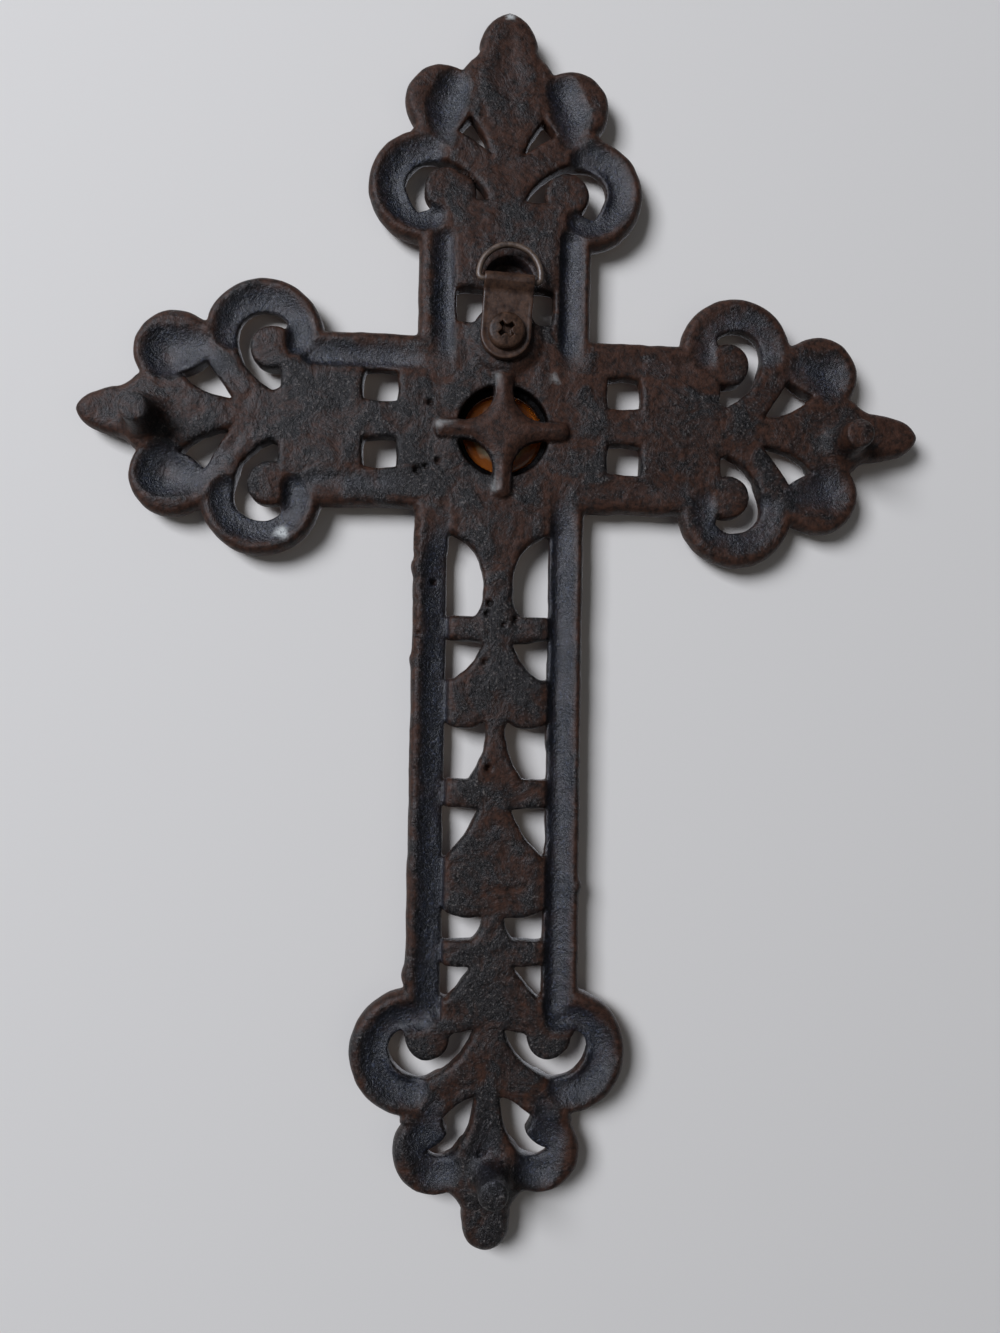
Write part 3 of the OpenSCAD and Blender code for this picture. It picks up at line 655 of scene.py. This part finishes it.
# Where the grain is high, the coats get pale dots, grey on the flats and blue-grey in the hollows.
# These are painted glints of light on the sandy skin.
rubbed, glint_specks, flaked, sandy, wet, lit = [
    add(tree, "ShaderNodeMapRange", {"Value": value, "From Min": low, "From Max": high,
                                     "To Min": to_low, "To Max": to_high}).outputs[0]
    for value, low, high, to_low, to_high in (
        (worn, 0.44, 0.64, 0.0, 1.0), (grain, 0.57, 0.67, 0.0, 1.0), (grain, 0.3, 0.45, 0.0, 1.0),
        (grain, 0.35, 0.65, 0.3, 0.46), (hollow, 0.0, 1.0, 0.32, 0.75),
        (shade, 0.0, 1.0, 1.0, 0.15))]
kept = add(tree, "ShaderNodeMath", {0: hollow, 1: -0.8, 2: 1.0}, operation="MULTIPLY_ADD").outputs[0]
brown, chip_and_highlight_spots = [
    add(tree, "ShaderNodeMath", {0: one, 1: two}, operation="MULTIPLY").outputs[0]
    for one, two in ((rubbed, kept), (chip_and_highlight, flaked))]
# The second coat, darker and bluer, is painted shade and a painted reflection of the sky in the
# hollows
coats = []                   # blue-black on the flats, bluer in the hollows, and the brown
for thin, thick, low, high, glint_colour, share in (("#080707", "#272322", 0.36, 0.64, "#6f6964", 0.7),
                                             ("#040508", "#131722", 0.35, 0.65, "#566079", 0.42),
                                             ("#1c120d", "#432b20", 0.35, 0.62, "#6f6964", 0.0)):
    clotted = add(tree, "ShaderNodeMapRange", {"Value": mottle, "From Min": low,
                                               "From Max": high}).outputs[0]
    coat = add(tree, "ShaderNodeMix", {"Factor": clotted, 6: paint(thin), 7: paint(thick)},
               data_type="RGBA").outputs[2]
    dots = add(tree, "ShaderNodeMath", {0: glint_specks, 1: share}, operation="MULTIPLY").outputs[0]
    coats.append(add(tree, "ShaderNodeMix", {"Factor": dots, 6: coat, 7: paint(glint_colour)},
                     data_type="RGBA").outputs[2])
# Over the coats go the rubbed brown, pale grey chips and painted highlights, and the near-black
# painted shade in the stone's well
surface = coats[0]
for factor, over in ((hollow, coats[1]), (brown, coats[2]), (chip_and_highlight_spots, paint("#b9bab6")),
                     (shade, paint("#040303"))):
    surface = add(tree, "ShaderNodeMix", {"Factor": factor, 6: surface, 7: over},
                  data_type="RGBA").outputs[2]
gloss, duller = [
    add(tree, "ShaderNodeMath", {0: brown, 1: share, 2: start}, operation="MULTIPLY_ADD").outputs[0]
    for share, start in ((0.12, sandy), (-0.1, wet))]
shine = add(tree, "ShaderNodeMath", {0: duller, 1: lit}, operation="MULTIPLY").outputs[0]
rough_skin = add(tree, "ShaderNodeMapRange", {"Value": brown, "To Min": 1.0,
                                              "To Max": 0.45}).outputs[0]
grains, pits = [
    add(tree, "ShaderNodeMath", {0: texture, 1: rough_skin}, operation="MULTIPLY").outputs[0]
    for texture in (grain, mottle)]
sand = add(tree, "ShaderNodeBump", {"Height": grains, "Strength": 0.8, "Distance": 0.0004})
pitted = add(tree, "ShaderNodeBump", {"Height": pits, "Strength": 0.6, "Distance": 0.0008,
                                      "Normal": sand.outputs[0]})
shader = add(tree, "ShaderNodeBsdfPrincipled", {"Base Color": surface, "Roughness": gloss,
                                                "Specular IOR Level": shine,
                                                "Normal": pitted.outputs[0]})
tree.links.new(shader.outputs[0], out.inputs["Surface"])
mesh.materials.append(iron)
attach(casting, "cross")
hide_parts("cross_casting")

# ------------------------------------------------------------------ the glass stone
# A moulded glass cabochon, fire-polished behind and domed in front, dropped into its bezel
# from the front and glued on the ledge behind it. Its rim is amber and its middle nearly clear.
GLASS_R = 10.35
GLASS_EDGE_W = -6.5          # where the dome starts
GLASS_DOME = 3.9
BACK_ROUND = 2.2             # how far in the back's edge starts to round over
BACK_DROP = 1.1              # and how far down it rounds
TURNS = 96
profile = [[0, STONE_BACK], [2.5, STONE_BACK], [5.0, STONE_BACK - 0.02]]
profile += [[GLASS_R - BACK_ROUND + BACK_ROUND * math.sin(a),
             STONE_BACK - BACK_DROP * (1 - math.cos(a))]
            for a in np.radians(range(0, 91, 9))]
profile += [[GLASS_R, GLASS_EDGE_W + 0.4]]
profile += [[GLASS_R * math.cos(a) ** 0.9, GLASS_EDGE_W - GLASS_DOME * math.sin(a)]
            for a in np.radians(range(0, 86, 6))]
profile += [[0, GLASS_EDGE_W - GLASS_DOME]]
rings = []
for r, w in profile[1:-1]:
    a = np.arange(TURNS) * 2 * math.pi / TURNS
    rings.append(np.stack([r * np.cos(a), r * np.sin(a), np.full(TURNS, w)], -1))
points = np.concatenate([[[0, 0, profile[0][1]]]] + rings + [[[0, 0, profile[-1][1]]]])
faces = []
for i in range(TURNS):
    j = (i + 1) % TURNS
    faces.append((0, 1 + i, 1 + j))
    faces += [(n + i, n + TURNS + i, n + TURNS + j, n + j)
              for n in range(1, 1 + (len(rings) - 1) * TURNS, TURNS)]
    last = 1 + (len(rings) - 1) * TURNS
    faces.append((last + i, len(points) - 1, last + j))
stone_mesh = bpy.data.meshes.new("glass_cabochon")
stone_mesh.from_pydata([tuple(p) for p in to_row(points)], [], faces)
stone_mesh.shade_smooth()
layer = stone_mesh.attributes.new("rim", "FLOAT", "POINT")
layer.data.foreach_set("value", ramp(np.hypot(points[:, 0], points[:, 1]), 6.8, 9.0))
stone = bpy.data.objects.new("glass_cabochon", stone_mesh)
bpy.context.scene.collection.objects.link(stone)
# Moulded glass, clear and glossy: pale straw in the middle and a deep amber band at the rim
glass, tree, out = new_material("amber_moulded_glass")
where = add(tree, "ShaderNodeTexCoord").outputs["Object"]
rim = add(tree, "ShaderNodeAttribute", attribute_name="rim").outputs["Fac"]
streaks = add(tree, "ShaderNodeTexNoise", {"Vector": where, "Scale": 260.0,
                                           "Detail": 3.0}).outputs["Fac"]
uneven = add(tree, "ShaderNodeMath", {0: rim, 1: streaks}, operation="ADD").outputs[0]
band = add(tree, "ShaderNodeMapRange", {"Value": uneven, "From Min": 0.6,
                                        "From Max": 1.1}).outputs[0]
amber = add(tree, "ShaderNodeMix", {"Factor": band, 6: paint("#d9d6b4"), 7: paint("#a85a1c")},
            data_type="RGBA").outputs[2]
ripple = add(tree, "ShaderNodeBump", {"Height": streaks, "Strength": 0.25, "Distance": 0.0004})
shader = add(tree, "ShaderNodeBsdfPrincipled", {"Base Color": amber, "Roughness": 0.04, "IOR": 1.52,
                                                "Normal": ripple.outputs[0],
                                                "Transmission Weight": 0.75})
tree.links.new(shader.outputs[0], out.inputs["Surface"])
stone_mesh.materials.append(glass)
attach(stone, "cross")
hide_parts("glass_stone")

# ------------------------------------------------------------------ the hanger's strap
# A half inch strip of sheet steel folded back on itself round the ring's bar, with a round end
# under the screw whose edge is turned up a little. Brushed over with brown paint once fixed.
SHEET_T = 0.9
STRAP_HALF = 6.27
STRAP_REACH = 13.0
FOLD_W = 1.85                # height of the ring's bar above the boss
FOLD_R = 1.4                 # radius of the fold to the middle of the sheet
SHANK_R = 1.7
ROUND_END_Y = -0.4           # middle of the strap's round end
LIP_H = 0.08
STRAP_BLOCK = [[-7, -7.6, -0.8], [7, 15.6, 4.6]]
STRAP_STEP = 0.2
# Middle of the folded sheet, [y, z] from the screw: lower layer, fold, joggle, upper layer
FOLDED = [[-8, 0.45], [13, 0.45]]
FOLDED += [[STRAP_REACH + FOLD_R * math.cos(a), FOLD_W + FOLD_R * math.sin(a)]
           for a in np.radians(range(-75, 91, 15))]
FOLDED += [[12.4, 3.18], [11.6, 2.7], [10.6, 1.95], [9.8, 1.66], [8.6, 1.56], [-8, 1.55]]


def boxed(low, high, step):
    """The three coordinates of a block's grid, in the strap's own axes."""
    lines = [np.arange(a, b + step / 2, step, dtype=np.float32) for a, b in zip(low, high)]
    return np.meshgrid(*lines, indexing="ij")


def on_strap(points):
    """Points of the strap's own axes, screw at the origin, as points (u, v, w)."""
    x, y, z = np.asarray(points, float).T
    c, s = math.cos(STRAP_TURN), math.sin(STRAP_TURN)
    return np.stack([SCREW_AT[0] + x * c + y * s, SCREW_AT[1] - x * s + y * c, BOSS_H + z], -1)


x, y, z = boxed(*STRAP_BLOCK, STRAP_STEP)
strip_edge = np.where(y < ROUND_END_Y, np.hypot(x, y - ROUND_END_Y), np.abs(x)) - STRAP_HALF
lip = LIP_H * ramp(strip_edge, -1.3, -0.5) * ramp(y, 9, 6)
sheet_skin = np.full(x.shape, 9.0, np.float32)
for a, b in zip(FOLDED, FOLDED[1:]):
    e = np.subtract(b, a)
    along = np.clip(((y - a[0]) * e[0] + (z - lip - a[1]) * e[1]) / (e @ e), 0, 1)
    far = np.hypot(y - a[0] - along * e[0], z - lip - a[1] - along * e[1])
    sheet_skin = np.minimum(sheet_skin, far - SHEET_T / 2)
strip = smooth_max(sheet_skin, strip_edge, 0.45)
strip = np.maximum(strip, SHANK_R + 0.3 - np.hypot(x, y))
points, quads = skin(strip, STRAP_BLOCK[0], STRAP_STEP)
strap = mesh_from("folded_strap", on_strap(points), quads)
strap.data.shade_smooth()


def brushed_steel_paint(name, dark, light, grain_mm, shine):
    """Brown paint brushed over steel: satin, with brush marks and lighter and darker patches."""
    made, tree, out = new_material(name)
    where = add(tree, "ShaderNodeTexCoord").outputs["Object"]
    fine = add(tree, "ShaderNodeTexNoise", {"Vector": where, "Scale": 1000 / grain_mm,
                                            "Detail": 4.0, "Roughness": 0.65}).outputs["Fac"]
    broad = add(tree, "ShaderNodeTexNoise", {"Vector": where, "Scale": 420.0,
                                             "Detail": 3.0}).outputs["Fac"]
    both = add(tree, "ShaderNodeMath", {0: fine, 1: broad}, operation="ADD").outputs[0]
    clotted, satin = [
        add(tree, "ShaderNodeMapRange", {"Value": value, "From Min": low, "From Max": high,
                                         "To Min": to_low, "To Max": to_high}).outputs[0]
        for value, low, high, to_low, to_high in ((both, 0.75, 1.25, 0.0, 1.0),
                                                  (broad, 0.35, 0.65, 0.36, 0.55))]
    tone = add(tree, "ShaderNodeMix", {"Factor": clotted, 6: paint(dark), 7: paint(light)},
               data_type="RGBA").outputs[2]
    bump = add(tree, "ShaderNodeBump", {"Height": fine, "Strength": 0.4, "Distance": 0.0002})
    shader = add(tree, "ShaderNodeBsdfPrincipled", {"Base Color": tone, "Roughness": satin,
                                                    "Specular IOR Level": shine,
                                                    "Normal": bump.outputs[0]})
    tree.links.new(shader.outputs[0], out.inputs["Surface"])
    return made


strap.data.materials.append(brushed_steel_paint("brown_painted_sheet", "#24160f", "#4a3222",
                                                0.9, 0.4))
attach(strap, "cross")
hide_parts("hanger_strap")

# ------------------------------------------------------------------ the hanger's ring
# A D bent from 1.5 mm wire, its straight bar caught in the strap's fold, where its ends meet.
# Nothing holds it but the fold, so it swings on its bar. It was painted along with the strap.
WIRE_R = 0.74
RING_R = 7.65
RING_DROP = 1.4              # from the bar to the middle of the round part
CORNER_R = 1.0
half_bar = RING_R - CORNER_R
route = [[-half_bar, 0], [0, 0], [half_bar, 0]]
route += [[half_bar + CORNER_R * math.sin(a), CORNER_R * (1 - math.cos(a))]
          for a in np.radians(range(15, 91, 15))]
route += [[RING_R * math.cos(a), RING_DROP + RING_R * math.sin(a)]
          for a in np.radians(range(0, 181, 6))]
route += [[-half_bar - CORNER_R * math.sin(a), CORNER_R * (1 - math.cos(a))]
          for a in np.radians(range(90, 0, -15))]
route = on_strap([[x, STRAP_REACH + y, FOLD_W] for x, y in route])
ring_mesh = bpy.data.meshes.new("wire_ring")
ring_mesh.from_pydata([tuple(p) for p in to_row(route)],
                      [(i, (i + 1) % len(route)) for i in range(len(route))], [])
ring = bpy.data.objects.new("wire_ring", ring_mesh)
bpy.context.scene.collection.objects.link(ring)
# The wire's browns are lighter than the strap's, though it is the same paint. This is a painted
# highlight.
wire_paint = brushed_steel_paint("brown_painted_wire", "#33261f", "#64503f", 0.5, 0.9)

bend = bpy.data.node_groups.new("wire_along_a_route", "GeometryNodeTree")
bend.interface.new_socket("Geometry", in_out="INPUT", socket_type="NodeSocketGeometry")
radius_input = bend.interface.new_socket("Wire radius", in_out="INPUT",
                                         socket_type="NodeSocketFloat")
bend.interface.new_socket("Geometry", in_out="OUTPUT", socket_type="NodeSocketGeometry")
given = bend.nodes.new("NodeGroupInput")
path = add(bend, "GeometryNodeMeshToCurve", {"Mesh": given.outputs["Geometry"]})
wire = add(bend, "GeometryNodeCurvePrimitiveCircle", {"Resolution": 20,
                                                      "Radius": given.outputs["Wire radius"]})
tube = add(bend, "GeometryNodeCurveToMesh", {"Curve": path.outputs[0],
                                             "Profile Curve": wire.outputs["Curve"]})
smooth = add(bend, "GeometryNodeSetShadeSmooth", {"Geometry": tube.outputs[0]})
real = add(bend, "GeometryNodeRealizeInstances", {"Geometry": smooth.outputs[0]})
painted = add(bend, "GeometryNodeSetMaterial", {"Geometry": real.outputs[0],
                                                "Material": wire_paint})
add(bend, "NodeGroupOutput", {"Geometry": painted.outputs[0]})
maker = ring.modifiers.new("wire", "NODES")
maker.node_group = bend
maker[radius_input.identifier] = WIRE_R / 1000
made = bpy.data.meshes.new_from_object(ring.evaluated_get(bpy.context.evaluated_depsgraph_get()))
ring.modifiers.clear()
ring.data = made
made.name = "wire_ring"
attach(ring, "ring")
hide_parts("hanger_ring")

# ------------------------------------------------------------------ the hanger's screw
# A pan-head machine screw with a cross recess, driven through both layers of the strap into
# the boss, and painted over with the rest.
HEAD_R = 4.65
HEAD_H = 2.25
SHANK_END = -4.2
RECESS_TURN = math.radians(42)
RECESS_MIDDLE_R = 1.1
LAYER_TOP = 2.02             # upper face of the strap's two layers
DOME_R = 20                  # the head's top is nearly flat
BLADE_HALF = 0.55
BLADE_REACH = 2.2
RECESS_DEPTH = 1.9
SCREW_BLOCK = [[-5.25, -5.25, -4.9], [5.25, 5.25, 5.1]]
SCREW_STEP = 0.15
x, y, z = boxed(*SCREW_BLOCK, SCREW_STEP)
from_axis = np.hypot(x, y)
dome = np.sqrt(x * x + y * y + (z - LAYER_TOP - HEAD_H + DOME_R) ** 2) - DOME_R
head = smooth_max(smooth_max(from_axis - HEAD_R, LAYER_TOP - z, 0.3), dome, 1.0)
shank = np.maximum(from_axis - SHANK_R, np.maximum(SHANK_END - z, z - LAYER_TOP - 0.5))
one = np.abs(x * math.cos(RECESS_TURN) + y * math.sin(RECESS_TURN))
two = np.abs(y * math.cos(RECESS_TURN) - x * math.sin(RECESS_TURN))
cross = np.minimum(np.maximum(one - BLADE_HALF, two - BLADE_REACH),
                   np.maximum(two - BLADE_HALF, one - BLADE_REACH))
cross = smooth_min(cross, from_axis - RECESS_MIDDLE_R, 0.3)
recess = smooth_max(cross, LAYER_TOP + HEAD_H - RECESS_DEPTH - z, 0.3)
screw_skin = np.minimum(smooth_max(head, -recess, 0.3), shank)
points, quads = skin(screw_skin, SCREW_BLOCK[0], SCREW_STEP)
screw = mesh_from("pan_head_screw", on_strap(points), quads)
screw.data.shade_smooth()
screw.data.materials.append(brushed_steel_paint("brown_painted_screw", "#261a13", "#4c3628",
                                                0.6, 0.2))
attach(screw, "cross")
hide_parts("hanger_screw")
